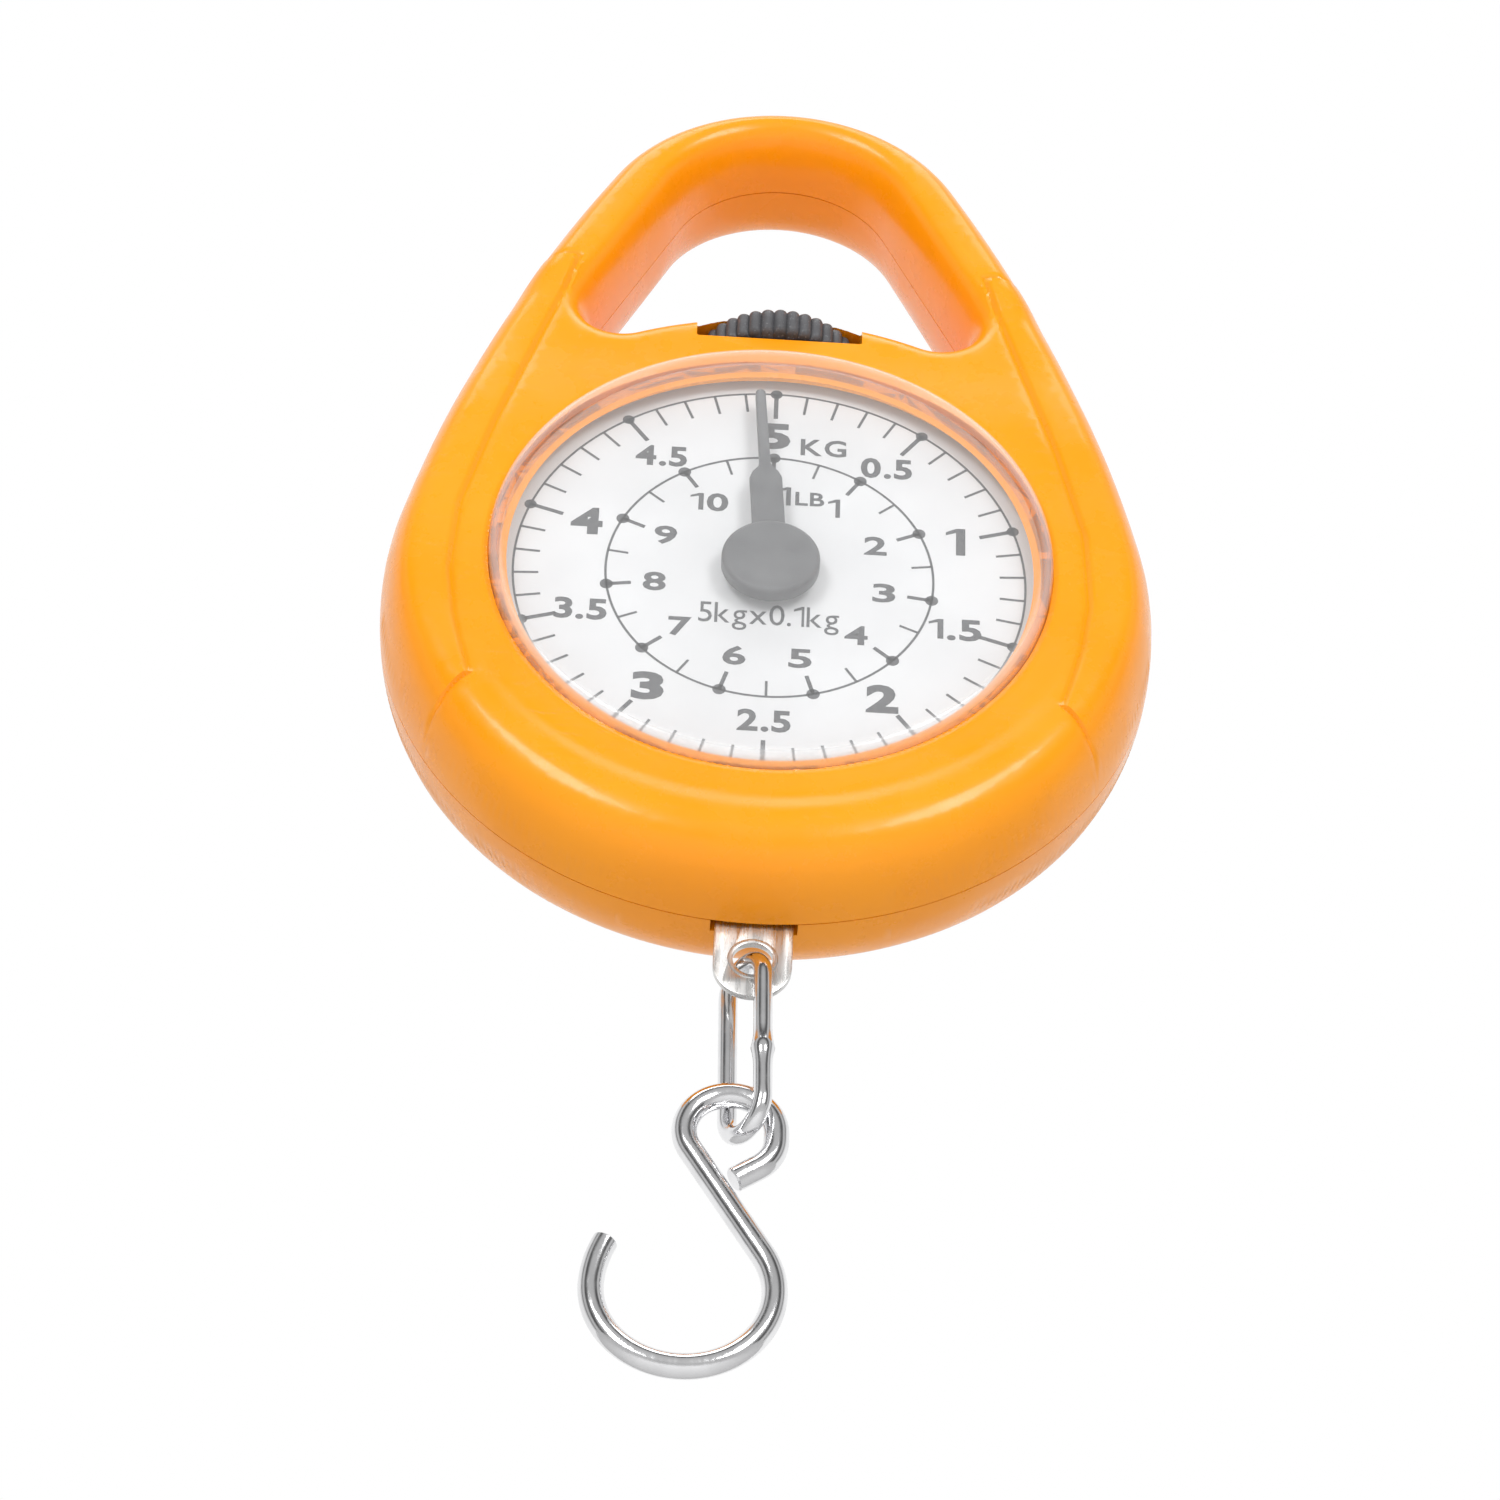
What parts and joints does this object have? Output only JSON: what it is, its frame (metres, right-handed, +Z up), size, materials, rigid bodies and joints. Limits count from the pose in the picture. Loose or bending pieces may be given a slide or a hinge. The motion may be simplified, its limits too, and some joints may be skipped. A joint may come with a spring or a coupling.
{
  "type": "hanging spring scale",
  "caption": "Small hanging dial scale: orange two-part plastic case with a built-in handle, round dial under a clear lens, zeroing wheel, rack-and-pinion movement, chain link and S-hook.",
  "frame": {"origin": "underside of the handle arch on the parting plane of the case, where a hanger or finger bears", "axes": "+Z up along the case, the dial faces -Y, +X to the right of a reader"},
  "size_m": [0.0946, 0.0232, 0.1962],
  "materials": {
    "orange_plastic": "smooth moulded ABS, glossy",
    "clear_lens": "clear polystyrene",
    "dial_white": "printed card",
    "pointer_grey": "moulded, satin",
    "wheel_black": "moulded, knurled",
    "nickel_strip": "polished nickel plate",
    "chrome_wire": "bright plated wire",
    "steel": "turned",
    "plated_screw": "zinc plated",
    "zinc_sheet": "galvanised sheet",
    "spring_wire": "drawn wire",
    "brass": "turned",
    "rack_plastic": "moulded acetal"
  },
  "bodies": {
    "case": {"front_shell": "orange_plastic", "rear_shell": "orange_plastic", "case_screws": "plated_screw", "lens": "clear_lens", "dial_plate": "dial_white", "bridge_plate": "zinc_sheet", "bridge_screws": "plated_screw", "front_bush": "brass", "rear_bush": "brass", "thrust_washer": "steel"},
    "movement": {"pointer": "pointer_grey", "pointer_shaft": "steel", "pinion": "brass"},
    "load_carrier": {"load_plate": "nickel_strip", "rack_bar": "rack_plastic", "rack_rivets": "steel", "left_spring": "spring_wire", "right_spring": "spring_wire"},
    "yoke": {"spring_yoke": "zinc_sheet", "adjuster_screw": "steel"},
    "wheel": {"zero_wheel": "wheel_black", "wheel_insert": "brass"},
    "link": {"chain_link": "chrome_wire"},
    "hook": {"s_hook": "chrome_wire"}
  },
  "joints": [
    {"name": "load_slide", "type": "slide", "parent": "case", "child": "load_carrier", "axis": [0, 0, -1], "range_m": [0, 0.01885], "stiffness_N_per_m": 2600, "deforming": ["left_spring", "right_spring"]},
    {"name": "pointer_spin", "type": "hinge", "parent": "case", "child": "movement", "pos_m": [0, 0, -0.0765], "axis": [0, 1, 0], "range_deg": [0, 360.1]},
    {"name": "wheel_spin", "type": "hinge", "parent": "case", "child": "wheel", "pos_m": [0, -0.00055, -0.036], "axis": [0, 0, 1], "range_deg": [-300, 300]},
    {"name": "zero_slide", "type": "slide", "parent": "case", "child": "yoke", "axis": [0, 0, 1], "range_m": [-0.00058, 0.00058]},
    {"name": "link_swing", "type": "hinge", "parent": "load_carrier", "child": "link", "pos_m": [-0.00015, 0.001, -0.13075], "axis": [0, 1, 0], "range_deg": [-60, 60]},
    {"name": "hook_swing", "type": "hinge", "parent": "link", "child": "hook", "pos_m": [-0.00012, 0.0016, -0.15474], "axis": [0, 1, 0], "range_deg": [-60, 60]}
  ],
  "couplings": [
    {"joint": "pointer_spin", "follows": "load_slide", "rad_per_m": 333.33},
    {"joint": "wheel_spin", "follows": "zero_slide", "rad_per_m": 8976}
  ]
}
